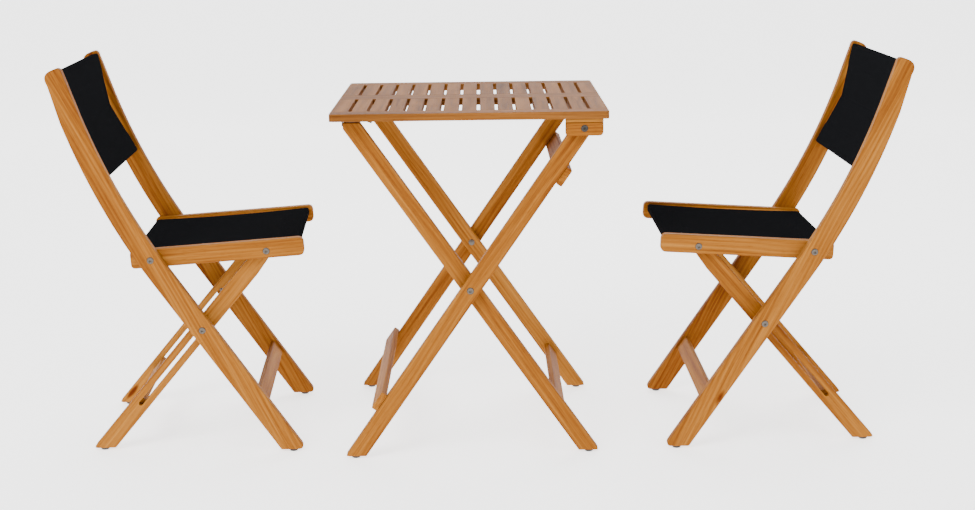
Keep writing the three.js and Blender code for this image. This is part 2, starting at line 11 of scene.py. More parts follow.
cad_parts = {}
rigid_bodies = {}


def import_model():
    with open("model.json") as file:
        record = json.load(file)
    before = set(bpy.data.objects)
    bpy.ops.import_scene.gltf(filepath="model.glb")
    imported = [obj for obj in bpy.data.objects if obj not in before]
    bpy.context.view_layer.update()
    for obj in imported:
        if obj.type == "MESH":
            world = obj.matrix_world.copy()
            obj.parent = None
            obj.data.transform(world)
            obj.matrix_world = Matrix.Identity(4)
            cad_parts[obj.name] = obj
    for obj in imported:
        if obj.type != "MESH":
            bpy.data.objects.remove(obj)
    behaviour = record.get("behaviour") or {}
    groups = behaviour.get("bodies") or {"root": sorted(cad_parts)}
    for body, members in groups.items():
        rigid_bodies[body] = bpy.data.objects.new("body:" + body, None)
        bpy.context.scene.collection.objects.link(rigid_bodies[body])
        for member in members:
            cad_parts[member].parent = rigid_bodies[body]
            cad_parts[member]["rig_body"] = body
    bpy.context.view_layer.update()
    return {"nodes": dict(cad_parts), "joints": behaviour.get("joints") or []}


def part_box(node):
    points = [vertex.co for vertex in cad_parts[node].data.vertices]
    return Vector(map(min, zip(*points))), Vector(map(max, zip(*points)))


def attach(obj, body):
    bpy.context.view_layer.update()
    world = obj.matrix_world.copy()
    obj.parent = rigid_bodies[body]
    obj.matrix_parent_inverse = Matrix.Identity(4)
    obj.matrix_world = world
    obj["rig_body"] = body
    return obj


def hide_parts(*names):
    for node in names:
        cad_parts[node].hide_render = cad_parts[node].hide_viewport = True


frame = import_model()

# ---- Camera, floor and studio light ----
# A long lens a little above the table's height looks down at the set from the front.
# The floor is a pale sheet that curves up behind it and glows a little, lit by a white room and
# three soft lights.
top_low, top_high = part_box("table_top")
table_x = (top_low.x + top_high.x) / 2
yaw, pitch, roll = 0.0024, -0.2045, -0.0126
ahead = np.array([math.sin(yaw) * math.cos(pitch), math.cos(yaw) * math.cos(pitch), math.sin(pitch)])
level = np.array([math.cos(yaw), -math.sin(yaw), 0])
over = np.cross(level, ahead)
right = level * math.cos(roll) + over * math.sin(roll)
upward = over * math.cos(roll) - level * math.sin(roll)
camera = bpy.data.objects.new("camera", bpy.data.cameras.new("camera"))
camera.data.lens = 61.96
camera.data.sensor_width = 36
camera.data.shift_y = -0.002
camera.matrix_world = Matrix.Translation((table_x + 0.0251, -3.5947, 1.1208)) @ Matrix(
    np.column_stack([right, upward, -ahead]).tolist()
).to_4x4()
bpy.context.scene.collection.objects.link(camera)
bpy.context.scene.camera = camera


class Value:
    """A socket of a finish. Arithmetic on it adds Math nodes."""

    def __init__(self, finish, socket):
        self.finish = finish
        self.socket = socket

    def math(self, operation, first, second=0.0):
        return self.finish.node("ShaderNodeMath", {"operation": operation}, {0: first, 1: second})

    def __add__(self, other):
        return self.math("ADD", self, other)

    def __sub__(self, other):
        return self.math("SUBTRACT", self, other)

    def __rsub__(self, other):
        return self.math("SUBTRACT", other, self)

    def __mul__(self, other):
        return self.math("MULTIPLY", self, other)

    def __pow__(self, other):
        return self.math("POWER", self, other)

    __radd__ = __add__
    __rmul__ = __mul__

    def sine(self):
        return self.math("SINE", self)

    def step(self, low, high):
        """0 below low, 1 above high, and a smooth rise between them."""
        settings = {"interpolation_type": "SMOOTHSTEP"}
        sockets = {"Value": self, "From Min": low, "From Max": high}
        return self.finish.node("ShaderNodeMapRange", settings, sockets)

    def scaled(self, factors):
        """This vector with its three parts multiplied by three numbers."""
        return self.finish.node("ShaderNodeVectorMath", {"operation": "MULTIPLY"}, {0: self, 1: factors})

    def part(self, index):
        """One of this vector's three parts."""
        return self.finish.node("ShaderNodeSeparateXYZ", {}, {0: self}, index)

    def noise(self, factors, detail=2.0, distortion=0.0):
        """Noise over this vector, scaled along each of its directions."""
        sockets = {"Vector": self.scaled(factors), "Scale": 1.0, "Detail": detail, "Distortion": distortion}
        return self.finish.node("ShaderNodeTexNoise", {}, sockets)


class Finish:
    """A material. node() adds any node from its settings and the values or links of its sockets."""

    def __init__(self, name, **surface):
        self.material = bpy.data.materials.new(name)
        self.material.use_nodes = True
        self.tree = self.material.node_tree
        self.surface = self.tree.nodes["Principled BSDF"]
        self.set(**surface)

    def set(self, **sockets):
        for name, value in sockets.items():
            socket = self.surface.inputs[name.replace("_", " ").title().replace("Ior", "IOR")]
            if isinstance(value, Value):
                self.tree.links.new(value.socket, socket)
            else:
                socket.default_value = value

    def node(self, kind, settings, sockets, out=0):
        made = self.tree.nodes.new(kind)
        for key, value in settings.items():
            if key == "stops":
                elements = made.color_ramp.elements
                while len(elements) < len(value):
                    elements.new(1.0)
                for element, (at, colour) in zip(elements, value):
                    element.position = at
                    element.color = (*colour, 1)
            else:
                setattr(made, key, value)
        for key, value in sockets.items():
            if isinstance(value, Value):
                self.tree.links.new(value.socket, made.inputs[key])
            else:
                made.inputs[key].default_value = value
        return Value(self, made.outputs[out])

    def mix(self, factor, first, second, blend="MIX"):
        """Two colours mixed by a factor."""
        settings = {"data_type": "RGBA", "blend_type": blend}
        return self.node("ShaderNodeMix", settings, {0: factor, 6: first, 7: second}, 2)

    def bump(self, height, strength, distance):
        sockets = {"Height": height, "Strength": strength, "Distance": distance}
        self.set(normal=self.node("ShaderNodeBump", {}, sockets))


def mesh_object(name, points, faces, material, attributes=(), sharp=None, normals=None):
    """An object from its points (metres) and faces, smooth but for edges sharper than sharp degrees."""
    mesh = bpy.data.meshes.new(name)
    mesh.from_pydata(points.tolist(), [], faces)
    for key, values in attributes:
        kind = "FLOAT_VECTOR" if values.ndim == 2 else "FLOAT"
        made = mesh.attributes.new(key, kind, "POINT")
        made.data.foreach_set("vector" if values.ndim == 2 else "value", values.astype(np.float32).ravel())
    mesh.shade_smooth()
    if sharp:
        mesh.set_sharp_from_angle(angle=math.radians(sharp))
    if normals is not None:
        mesh.normals_split_custom_set_from_vertices(normals.tolist())
    mesh.materials.append(material)
    made = bpy.data.objects.new(name, mesh)
    bpy.context.scene.collection.objects.link(made)
    return made


def grid_faces(rows, columns, closed=False):
    """Four-sided faces of a grid of points, row by row; closed joins its last column to its first."""
    r, c = np.meshgrid(np.arange(rows - 1), np.arange(columns if closed else columns - 1), indexing="ij")
    n = (c + 1) % columns
    corners = [r * columns + c, r * columns + n, (r + 1) * columns + n, (r + 1) * columns + c]
    return np.stack(corners, -1).reshape(-1, 4)


def floor_points(half, front, back, bend, steps):
    """The floor: level from front to back, then a quarter circle of radius bend, then upright."""
    turn = np.linspace(0, math.pi / 2, steps)
    y = np.concatenate([[front, back], back + bend * np.sin(turn), [back + bend]])
    z = np.concatenate([[0, 0], bend * (1 - np.cos(turn)), [bend + 5]])
    x = np.array([-half, half])
    return np.stack([np.tile(x, len(y)), np.repeat(y, 2), np.repeat(z, 2)], -1), len(y)


studio = Finish(
    "studio_paper", base_color=(0.94, 0.94, 0.94, 1), roughness=0.95,
    emission_color=(1, 1, 1, 1), emission_strength=1.9)
points, rows = floor_points(9, -7, 5, 2, 16)
mesh_object("studio_floor", points, grid_faces(rows, 2).tolist(), studio.material)
world = bpy.data.worlds.new("studio_room")
world.use_nodes = True
world.node_tree.nodes["Background"].inputs["Color"].default_value = (1, 1, 1, 1)
world.node_tree.nodes["Background"].inputs["Strength"].default_value = 0.9
bpy.context.scene.world = world
for name, place, aim, size, power in [
    ("key_light", (-2.2, -3.2, 3.4), (0, 0, 0.5), 2.4, 210),
    ("fill_light", (2.8, -3.0, 2.2), (0, 0, 0.4), 2.6, 55),
    ("back_light", (0.6, 2.6, 3.0), (0, 0, 0.6), 2.2, 50),
]:
    light = bpy.data.lights.new(name, "AREA")
    light.size = size
    light.energy = power
    lamp = bpy.data.objects.new(name, light)
    aimed = (Vector(aim) - Vector(place)).to_track_quat("-Z", "Y")
    lamp.matrix_world = Matrix.Translation(place) @ aimed.to_matrix().to_4x4()
    bpy.context.scene.collection.objects.link(lamp)

# ---- Table: crossed legs ----
# Sawn and planed boards of oiled acacia, their edges softened and their feet cut level.
# The outer pair carries the top on bolts; the inner pair folds into it about the crossing.
MM = 0.001
draw = np.random.default_rng(7)


def oiled_wood(name, dark, middle, pale, shine):
    """Solid wood over the grain attribute (along, across, through the log, in metres).

    Growth rings are a wave of the distance from the log's heart, bent by slow noise along it.
    Fibres, pores and darker streaks are noise drawn out along the grain, and a few knots are
    cells of a pattern drawn out a little less.
    """
    wood = Finish(name, specular_ior_level=0.05)
    grain = wood.node("ShaderNodeAttribute", {"attribute_name": "grain"}, {}, 1)
    tone = wood.node("ShaderNodeAttribute", {"attribute_name": "tone"}, {}, 2)
    across = grain.part(1)
    through = grain.part(2)
    bend = grain.noise((2.2, 11, 11), 2.0)
    heart = (across * across + through * through) ** 0.5 + bend * 0.034
    ring_gap = 0.0072
    rings = (heart * (math.tau / ring_gap)).sine() * 0.5 + 0.5
    fibre = grain.noise((9, 420, 420), 3.0)
    streak = grain.noise((1.6, 46, 46), 3.0, 0.4)
    pores = grain.noise((55, 1500, 1500), 1.0).step(0.60, 0.74)
    cell = wood.node("ShaderNodeTexVoronoi", {}, {"Vector": grain.scaled((3.1, 10, 10)), "Scale": 1.0})
    knot = 1 - cell.step(0.035, 0.085)
    light = 0.52 + (streak - 0.5) * 0.75 + (fibre - 0.5) * 0.45 + (rings - 0.5) * 0.10 + tone
    shade = light - pores * 0.14 - knot * 0.5
    stops = [(0.0, dark), (0.22, dark), (0.52, middle), (0.86, pale)]
    colour = wood.node("ShaderNodeValToRGB", {"stops": stops}, {0: shade})
    wood.set(base_color=colour, roughness=shine + (fibre - 0.5) * 0.16 + pores * 0.12)
    wood.bump(fibre * 0.5 + rings * 0.15 - pores, 0.22, 0.0006)
    return wood.material


frame_wood = oiled_wood(
    "oiled_acacia", (0.10, 0.018, 0.0008), (0.235, 0.080, 0.0085), (0.39, 0.165, 0.028), 0.60)


def rounded(corners, steps=6):
    """Closed outline through corners (x, z, radius), each eased by a parabola between two points at
    radius / tan(half the turn) from it."""
    corner = np.array([c[:2] for c in corners], float)
    radius = np.array([max(c[2] if len(c) > 2 else 0, 0.8) for c in corners])
    before = np.roll(corner, 1, 0) - corner
    after = np.roll(corner, -1, 0) - corner
    before /= np.linalg.norm(before, axis=1)[:, None]
    after /= np.linalg.norm(after, axis=1)[:, None]
    turn = np.arccos(np.clip((before * after).sum(1), -1, 1))
    reach = (radius / np.tan(turn / 2))[:, None]
    start, end = corner + before * reach, corner + after * reach
    t = np.linspace(0, 1, steps)[None, :, None]
    eased = (1 - t) ** 2 * start[:, None] + 2 * t * (1 - t) * corner[:, None] + t**2 * end[:, None]
    return eased.reshape(-1, 2)


def counter(outline, clockwise=False):
    """The outline with its area on the left, or on the right where it is a hole."""
    x, z = outline.T
    area = (x * np.roll(z, -1) - np.roll(x, -1) * z).sum()
    return outline[::-1] if (area < 0) != clockwise else outline


def side_ways(outline):
    """Outward directions of an outline's points, each the mean of its two edges' by their length,
    and the mitre that moves every edge out by one."""
    edge = np.roll(outline, -1, 0) - outline
    out = np.stack([edge[:, 1], -edge[:, 0]], -1)
    way = out + np.roll(out, 1, 0)
    way /= np.linalg.norm(way, axis=1)[:, None]
    unit = out / np.linalg.norm(out, axis=1)[:, None]
    both = unit + np.roll(unit, 1, 0)
    return way, both * 2 / (both**2).sum(1)[:, None]


def with_depth(flat, depth):
    """Rows of (x, z) pairs with a y of their own for each row."""
    y = np.broadcast_to(depth[:, None], flat.shape[:2])
    return np.stack([flat[..., 0], y, flat[..., 1]], -1).reshape(-1, 3)


def board_mesh(outline, low, high, soft, holes=()):
    """Points, faces and normals of a board: each outline in (x, z) is carried along y, from low to high.

    It is set in by soft * (1 - sin a) while it moves soft * (1 - cos a) off each face, a from 0 to 90
    degrees. A hole's edges are eased a quarter as much."""
    turn = np.linspace(0, math.pi / 2, 4)
    inset = np.concatenate([soft * (1 - np.sin(turn)), soft * (1 - np.sin(turn))[::-1]])
    depth = np.concatenate([low + soft * (1 - np.cos(turn)), high - (soft * (1 - np.cos(turn)))[::-1]])
    facing = np.concatenate([-np.cos(turn), np.cos(turn)[::-1]])
    sideways = np.sqrt(1 - facing**2)
    points, faces, normals, first, last, start = [], [], [], [], [], 0
    for loop, hole in [(outline, False)] + [(h, True) for h in holes]:
        loop = counter(loop, hole)
        way, mitre = side_ways(loop)
        n = len(loop)
        flat = loop[None] - (0.25 if hole else 1) * inset[:, None, None] * mitre[None]
        points.append(with_depth(flat, depth))
        normals.append(with_depth(sideways[:, None, None] * way[None], facing))
        faces.append(grid_faces(len(depth), n, True)[:, ::-1] + start)
        first.append(start + np.arange(n))
        last.append(start + (len(depth) - 1) * n + np.arange(n))
        start += len(depth) * n
    points = np.concatenate(points)
    rim = [[Vector((*points[i, [0, 2]], 0)) for i in ring] for ring in first]
    cap = np.array(tessellate_polygon(rim))
    ring_low, ring_high = np.concatenate(first), np.concatenate(last)
    a, b, c = (points[ring_low[cap[:, k]]][:, [0, 2]] for k in range(3))
    back = ((b - a) * (c - a)[:, ::-1] * [1, -1]).sum(1) < 0
    cap[back] = cap[back][:, ::-1]
    faces = np.concatenate(faces).tolist() + ring_low[cap].tolist() + ring_high[cap][:, ::-1].tolist()
    return points, faces, np.concatenate(normals)


def grain_of(points, along):
    """Where each point lies in its log: along the grain, then across it, turned and moved at random."""
    way = np.array([along[0], 0.0, along[1]] if len(along) == 2 else along, float)
    way /= np.linalg.norm(way)
    aside = np.cross(way, [0, 1, 0]) if abs(way[1]) < 0.9 else np.array([1.0, 0, 0])
    aside /= np.linalg.norm(aside)
    other = np.cross(way, aside)
    turn = draw.uniform(0, math.tau)
    u, v, w = points @ way, points @ aside, points @ other
    far = draw.uniform(0.03, 0.11)
    heart = draw.uniform(0, math.tau)
    place = [
        u + draw.uniform(0, 20),
        v * math.cos(turn) - w * math.sin(turn) + far * math.cos(heart),
        v * math.sin(turn) + w * math.cos(turn) + far * math.sin(heart),
    ]
    return np.stack(place, -1)


def lean_place(x, y, z, turn=0.0):
    """The place of a frame whose origin is at (x, y, z) metres, turned by degrees about the upright."""
    return Matrix.Translation((x, y, z)) @ Matrix.Rotation(math.radians(turn), 4, "Z")


def placed(points, place, turn_only=False):
    matrix = np.array(place)
    return points @ matrix[:3, :3].T + (0 if turn_only else matrix[:3, 3])


def board(node, outline, low, high, along, place, soft=2.2, holes=(), name=None, slot="oiled_wood",
          tone=None):
    """A wooden piece that stands for a CAD node. Its outline and thickness are in millimetres in its own
    frame, and along is the way of its grain."""
    points, faces, normals = board_mesh(np.asarray(outline), low, high, soft, holes)
    points = points * MM
    grain = grain_of(points, along)
    shade = np.full(len(points), draw.uniform(-0.07, 0.07) if tone is None else tone)
    made = mesh_object(
        name or "wood_" + node, placed(points, place), faces, frame_wood,
        [("grain", grain), ("tone", shade)], None, placed(normals, place, True))
    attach(made, frame["nodes"][node]["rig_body"])
    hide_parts(node)
    return made


def leaning(x, z, lean, length, width, radius):
    """Outline of a bar's section: its length along a direction that leans from upright towards -x."""
    a = np.array([-math.sin(lean), math.cos(lean)]) * length / 2
    c = np.array([math.cos(lean), math.sin(lean)]) * width / 2
    middle = np.array([x, z])
    return rounded([(*(middle + i * a + j * c), radius) for i, j in [(-1, -1), (-1, 1), (1, 1), (1, -1)]])


def arc(x, z, radius, start, end, steps):
    """Points of a circle from one angle to another."""
    turn = np.linspace(start, end, steps)
    return np.stack([x + radius * np.cos(turn), z + radius * np.sin(turn)], -1)


table_place = lean_place(table_x, 0, 0)
table_half, table_deep, table_high, top_thick = 277.5, 300, 720, 15
underside = table_high - top_thick
glide_tall = 5
outer_wide, inner_wide, leg_thick, layer_gap = 36, 35, 22, 1
cleat_out, cleat_thick = table_deep - 5, 20
outer_out = cleat_out - cleat_thick - layer_gap
outer_in = outer_out - leg_thick
inner_out = outer_in - layer_gap
inner_in = inner_out - leg_thick
bolt_hole = 7.1
pivot = np.array([table_half - 49, underside - 1.5 - outer_wide / 2])
foot_x = -(table_half - 29)
leg_slope = (pivot[0] - foot_x) / pivot[1]
leg_lean = math.atan(leg_slope)
cross = np.array([-2.5, (-2.5 - foot_x) / leg_slope])
sides = [(-1, "near"), (1, "far")]
NEAR_FAR = {-1: "near", 1: "far"}


def leg_x(frame_side, z):
    """The x of a leg's axis at a height; frame_side is 1 for the outer pair and -1 for the inner."""
    return cross[0] + frame_side * leg_slope * (z - cross[1])


def span(side, out, inner):
    return (-out, -inner) if side < 0 else (inner, out)


outer_spread = outer_wide / 2 / math.cos(leg_lean)
foot_at = leg_x(1, glide_tall)
foot_corners = [(foot_at - outer_spread, glide_tall, 4), (foot_at + outer_spread, glide_tall, 4)]
outer_shape = np.concatenate([
    rounded([*foot_corners, tuple(pivot)])[:12],
    arc(*pivot, outer_wide / 2, -leg_lean, math.pi - leg_lean, 24),
])
inner_top = underside - 8
inner_spread = inner_wide / 2 / math.cos(leg_lean)
latch_face = leg_x(-1, inner_top) - 12.5
inner_shape = rounded([
    (leg_x(-1, glide_tall) - inner_spread, glide_tall, 4),
    (leg_x(-1, glide_tall) + inner_spread, glide_tall, 4),
    (leg_x(-1, inner_top) + inner_spread, inner_top, 2),
    (latch_face, inner_top, 2),
    (latch_face, inner_top - (inner_spread - 12.5) / leg_slope, 2),
])


def bore(x, z):
    """A round hole that a bolt's head or nut sits in."""
    return arc(x, z, bolt_hole, 0, math.tau, 25)[:-1]


for side, name in sides:
    board(
        f"table_outer_leg_{name}", outer_shape, *span(side, outer_out, outer_in), (leg_slope, 1),
        table_place, 2.2, [bore(*cross), bore(*pivot)])
    board(
        f"table_inner_leg_{name}", inner_shape, *span(side, inner_out, inner_in), (-leg_slope, 1),
        table_place, 2.2, [bore(*cross)])

# ---- Table: crossbars ----
# Two flat bars are screwed to the outer legs' edges, and a stretcher is housed between the inner legs.
for node, z, edge in [
    ("table_upper_bar", pivot[1] - 105 * math.cos(leg_lean), 1),
    ("table_lower_bar", 132 * math.cos(leg_lean), -1),
]:
    off = edge * (outer_wide / 2 + 0.3 + 6.5)
    x = leg_x(1, z) + off * math.cos(leg_lean)
    section = leaning(x, z - off * math.sin(leg_lean), -leg_lean, 40, 13, 3)
    board(node, section, -outer_out, outer_out, (0, 1, 0), table_place, 1.2)
stretcher_z = 113 * math.cos(leg_lean)
section = leaning(leg_x(-1, stretcher_z), stretcher_z, leg_lean, 34, 14, 3)
board("table_inner_stretcher", section, -inner_in - 8, inner_in + 8, (0, 1, 0), table_place, 1.0)

# ---- Table: cleats ----
# A short board under each side of the top holds the bolt it turns on. Its lower corners are rounded,
# and a bead is run along its outer face just below the top.
cleat_long, cleat_deep, bead_deep, bead_proud = 75, 34, 7.4, 1.2
cleat_end = pivot[0] + cleat_long / 2
cleat_start = cleat_end - cleat_long
cleat_top = underside - 0.3
cleat_low = cleat_top - cleat_deep
body_top, bead_low = underside - bead_deep - 0.8, underside - bead_deep
body = rounded([
    (cleat_start, cleat_low, 6), (cleat_end, cleat_low, 9),
    (cleat_end, body_top, 0.8), (cleat_start, body_top, 0.8)])
bead = rounded([
    (cleat_start, bead_low, 2.2), (cleat_end, bead_low, 2.2),
    (cleat_end, cleat_top, 0.8), (cleat_start, cleat_top, 0.8)])
for side, name in sides:
    low, high = span(side, cleat_out, cleat_out - cleat_thick)
    node = f"table_cleat_{name}"
    near_face = low + (bead_proud if side < 0 else 0)
    far_face = high - (bead_proud if side > 0 else 0)
    board(node, body, near_face, far_face, (1, 0), table_place, 1.6, [bore(*pivot)])
    board(node, bead, low, high, (1, 0), table_place, 1.8, name=f"wood_{node}_bead", tone=0.12)

# ---- Table: slatted top ----
# Slats run between two edge boards and a middle board, each with softened edges, and all lie flush.
# The same wood as the frame, with its colours painted a little greyer on top: a painted reflection of the
# white room seen at a glancing angle.
top_wood_painted_reflection = oiled_wood(
    "weathered_acacia", (0.075, 0.022, 0.003), (0.19, 0.068, 0.012), (0.28, 0.115, 0.028), 0.62)
slat, slot_wide, edge_board, middle_board = 29.8, 7, 48, 76
pitch_x = slat + slot_wide
slots = int((2 * table_half - 68 + slat) / pitch_x)
row = (table_deep - edge_board, middle_board / 2)


def top_board(name, x0, x1, y0, y1, along, radii=(1, 1, 1, 1)):
    """One board of the top: its plan outline, with four corner radii, is given the top's thickness."""
    plan = rounded([(x0, y0, radii[0]), (x1, y0, radii[1]), (x1, y1, radii[2]), (x0, y1, radii[3])])
    points, faces, normals = board_mesh(plan, 0, top_thick, 0.8)
    points = np.stack([points[:, 0], points[:, 2], underside + top_thick - points[:, 1]], -1) * MM
    normals = np.stack([normals[:, 0], normals[:, 2], -normals[:, 1]], -1)
    grain = grain_of(points, along)
    shade = np.full(len(points), draw.uniform(-0.10, 0.10))
    made = mesh_object(
        name, placed(points, table_place), faces, top_wood_painted_reflection,
        [("grain", grain), ("tone", shade)], None, normals)
    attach(made, "table_top")
    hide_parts("table_top")
    return made


ease = 0.15
ends = (-table_half, table_half)
top_board("wood_top_edge_near", *ends, -table_deep, -row[0] - ease, (1, 0, 0), (9, 9, 1, 1))
top_board("wood_top_edge_far", *ends, row[0] + ease, table_deep, (1, 0, 0), (1, 1, 9, 9))
top_board("wood_top_middle", *ends, -row[1] + ease, row[1] - ease, (1, 0, 0))
edges = [-table_half] + [(i - (slots - 1) / 2) * pitch_x for i in range(slots)] + [table_half]
for side, name in sides:
    for i in range(slots + 1):
        x0 = edges[i] + (0 if i == 0 else slot_wide / 2)
        x1 = edges[i + 1] - (0 if i == slots else slot_wide / 2)
        y0, y1 = sorted([side * row[1], side * row[0]])
        top_board(f"wood_top_slat_{name}_{i + 1}", x0, x1, y0, y1, (0, 1, 0))

# ---- Bolts, nuts and spacers ----
# Steel bolts with low round heads and hexagon sockets, each with a barrel nut on the inner side.
steel = Finish("plated_steel", metallic=1.0)
spot = steel.node("ShaderNodeTexCoord", {}, {}, 3)
worn = spot.noise((900, 900, 900), 2.0)
steel.set(
    base_color=steel.mix(worn, (0.05, 0.040, 0.032, 1), (0.17, 0.15, 0.13, 1)),
    roughness=0.30 + worn * 0.2)
black_steel = Finish("blackened_steel", metallic=0.85)
spot = black_steel.node("ShaderNodeTexCoord", {}, {}, 3)
worn = spot.noise((300, 300, 300), 3.0)
black_steel.set(
    base_color=black_steel.mix(worn, (0.012, 0.011, 0.010, 1), (0.075, 0.068, 0.060, 1)),
    roughness=0.34 + worn * 0.25)


def turned(rings, steps=30):
    """Points and faces turned about an axis from rings (radius, along, hexagon): a ring's radius is
    stretched to the six sides of a hexagon where hexagon is 1. Both ends close in a point."""
    ring = np.array([(r, a, h) for r, a, h in rings if r > 0], float)
    turn = np.arange(steps) * math.tau / steps
    six = 1 / np.cos((turn + math.pi / 6) % (math.pi / 3) - math.pi / 6)
    radius = ring[:, :1] * (1 + ring[:, 2:] * (six[None] - 1))
    along = np.broadcast_to(ring[:, 1:2], radius.shape)
    points = np.stack([radius * np.cos(turn), radius * np.sin(turn), along], -1).reshape(-1, 3)
    faces = grid_faces(len(ring), steps, True).tolist()
    n = len(points)
    points = np.concatenate([points, [[0, 0, rings[0][1]], [0, 0, rings[-1][1]]]])
    faces += [[n, (i + 1) % steps, i] for i in range(steps)]
    base = (len(ring) - 1) * steps
    faces += [[n + 1, base + i, base + (i + 1) % steps] for i in range(steps)]
    return points, faces


shaft = 3


def bolt(name, body, x, z, y_head, y_nut, place, finish=steel, node=None, sleeve=None, slot="steel",
         nut=6.9):
    """A bolt along y from its head to its nut, in millimetres. sleeve is (start, end) of a spacer on it,
    and nut is its nut's radius."""
    s = 1 if y_nut > y_head else -1
    length = abs(y_nut - y_head)
    socket = [(0, 2.4, 0), (2.5, 2.4, 1), (2.5, 0.1, 1)]
    head = [(3.5, -0.35, 0), (5.9, -0.45, 0), (6.7, -0.1, 0), (6.9, 0.5, 0), (6.9, 3.4, 0)]
    rings = socket + head + [(shaft, 3.4, 0)]
    if sleeve:
        start, end = (abs(v - abs(y_head)) for v in sleeve)
        rings += [(shaft, start + 0.1, 0), (5.5, start + 0.1, 0), (5.5, end - 0.1, 0), (shaft, end - 0.1, 0)]
    nut_start, nut_end = length - 4.5, length + 0.6
    rings += [(shaft, nut_start, 0), (nut, nut_start, 0), (nut, length + 0.2, 0)]
    rings += [(nut - 0.7, nut_end, 0), (0, nut_end, 0)]
    points, faces = turned(rings)
    points = np.stack([x + points[:, 0], y_head + s * points[:, 2], z + points[:, 1]], -1) * MM
    if s < 0:
        faces = [face[::-1] for face in faces]
    made = mesh_object(name, placed(points, place), [face[::-1] for face in faces], finish.material, (), 32)
    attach(made, body)
    if node:
        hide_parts(node)
    return made


for side, name in sides:
    bolt(
        f"bolt_table_cross_{name}", "table_frame", *cross, side * outer_out, side * inner_in, table_place,
        node=f"table_cross_bolt_{name}")
    bolt(
        f"bolt_table_cleat_{name}", "table_frame", *pivot, side * (cleat_out - bead_proud), side * outer_in,
        table_place, black_steel, f"table_cleat_bolt_{name}", slot="black_steel")
    latch = frame["nodes"][f"table_latch_{name}"]
    latch.data.materials.clear()
    latch.data.materials.append(black_steel.material)

# ---- Glides ----
# Black nylon domes under every foot, turned with a rounded edge and pressed into the wood.
nylon = Finish("black_nylon")
spot = nylon.node("ShaderNodeTexCoord", {}, {}, 3)
scuff = spot.noise((500, 500, 120), 3.0)
nylon.set(
    base_color=nylon.mix(scuff.step(0.45, 0.7), (0.012, 0.011, 0.010, 1), (0.055, 0.050, 0.045, 1)),
    roughness=0.42 + scuff * 0.2)


def glide(node, x, y, place):
    """A dome of 18 mm under a foot, from the floor up to the wood, in millimetres."""
    dome = [(0, 0, 0), (5.2, 0, 0), (7.4, 0.5, 0), (8.6, 1.6, 0), (9, 3.0, 0), (9, 4.4, 0), (8.7, 4.8, 0)]
    rings = dome + [(shaft, 4.8, 0), (shaft, 12, 0), (0, 12, 0)]
    points, faces = turned(rings, 28)
    points = (points + np.array([x, y, 0])) * MM
    name = "glide_" + node.replace("_glide", "")
    made = mesh_object(name, placed(points, place), faces, nylon.material, (), 40)
    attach(made, frame["nodes"][node]["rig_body"])
    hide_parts(node)


for side, name in sides:
    outer_y, inner_y = side * (outer_out + outer_in) / 2, side * (inner_out + inner_in) / 2
    glide(f"table_outer_glide_{name}", leg_x(1, glide_tall), outer_y, table_place)
    glide(f"table_inner_glide_{name}", leg_x(-1, glide_tall), inner_y, table_place)

# ---- Chairs: posts, seat rails and rear legs ----
# Each chair is three pairs of boards on bolts: posts with a bend above the seat, seat rails, and rear
# legs with a long slot that the lower bolt slides in as the chair folds.
post_out, post_thick, post_lean, back_lean = 222, 21, math.radians(34.33), math.radians(19.3)
post_in = post_out - post_thick
rail_out = post_in - layer_gap
rail_in = rail_out - 21
leg_out = rail_in - layer_gap
leg_in = leg_out - 21
seat_high, chair_high, bend_corner, bend_radius = 417, 813, 535, 1400
post_foot = seat_high * math.tan(post_lean) - 3.7
tilt = math.radians(3.5)


def up(lean):
    """The direction that leans back from upright."""
    return np.array([-math.sin(lean), math.cos(lean)])


corner_at = np.array([post_foot - bend_corner * math.tan(post_lean), bend_corner])
bend_reach = bend_radius * math.tan((post_lean - back_lean) / 2)
bend_start = corner_at - up(post_lean) * bend_reach
bend_end = corner_at + up(back_lean) * bend_reach
post_top = bend_end + up(back_lean) * (chair_high - bend_end[1]) / math.cos(back_lean)


def post_half(z):
    """Half the post's width at a height: 21 at the foot, 22.5 at the seat bolt and 20.5 at the top."""
    return np.interp(z, [0, seat_high, chair_high], [21, 22.5, 20.5])


def post_outline():
    """The post's two edges off its axis, which is straight, an arc of 1400 mm, then straight again,
    with a level foot and an eased top."""
    lean = np.concatenate([[post_lean], np.linspace(post_lean, back_lean, 15), [back_lean]])
    centre = bend_start + bend_radius * np.array([math.cos(post_lean), math.sin(post_lean)])
    bend = centre - bend_radius * np.stack([np.cos(lean[1:-1]), np.sin(lean[1:-1])], -1)
    axis = np.concatenate([[[post_foot, 0]], bend, [post_top]])
    off = post_half(axis[:, 1])[:, None] * np.stack([np.cos(lean), np.sin(lean)], -1)
    lines = []
    for line in (axis + off, axis - off):
        a, b = line[0], line[1]
        line[0] = a + (b - a) * (glide_tall - a[1]) / (b[1] - a[1])
        line[-1] = line[-1] - up(back_lean) * 6
        lines.append(line)
    front, rear = lines
    corners = [(*front[0], 9), (*front[-1], 10), (*rear[-1], 22), (*rear[0], 5)]
    shape = rounded(corners, 8)
    foot_front, top_front, top_rear, foot_rear = shape.reshape(4, 8, 2)
    return np.concatenate([foot_front, front[1:-1], top_front, top_rear, rear[1:-1][::-1], foot_rear])


def seat_at(along, rise):
    """A point along the rail's middle line from the seat bolt, and up from it."""
    x = along * math.cos(tilt) - rise * math.sin(tilt)
    return np.array([x, seat_high + along * math.sin(tilt) + rise * math.cos(tilt)])


leg_bolt = seat_at(313 - 78, -4)
slot_bolt = np.array([post_foot - 267 * math.tan(post_lean), 267])
down = (slot_bolt - leg_bolt) / np.linalg.norm(slot_bolt - leg_bolt)
aside = np.array([-down[1], down[0]])
slot_start, slot_run = np.linalg.norm(slot_bolt - leg_bolt), 218
leg_length = (leg_bolt[1] - glide_tall) / -down[1]


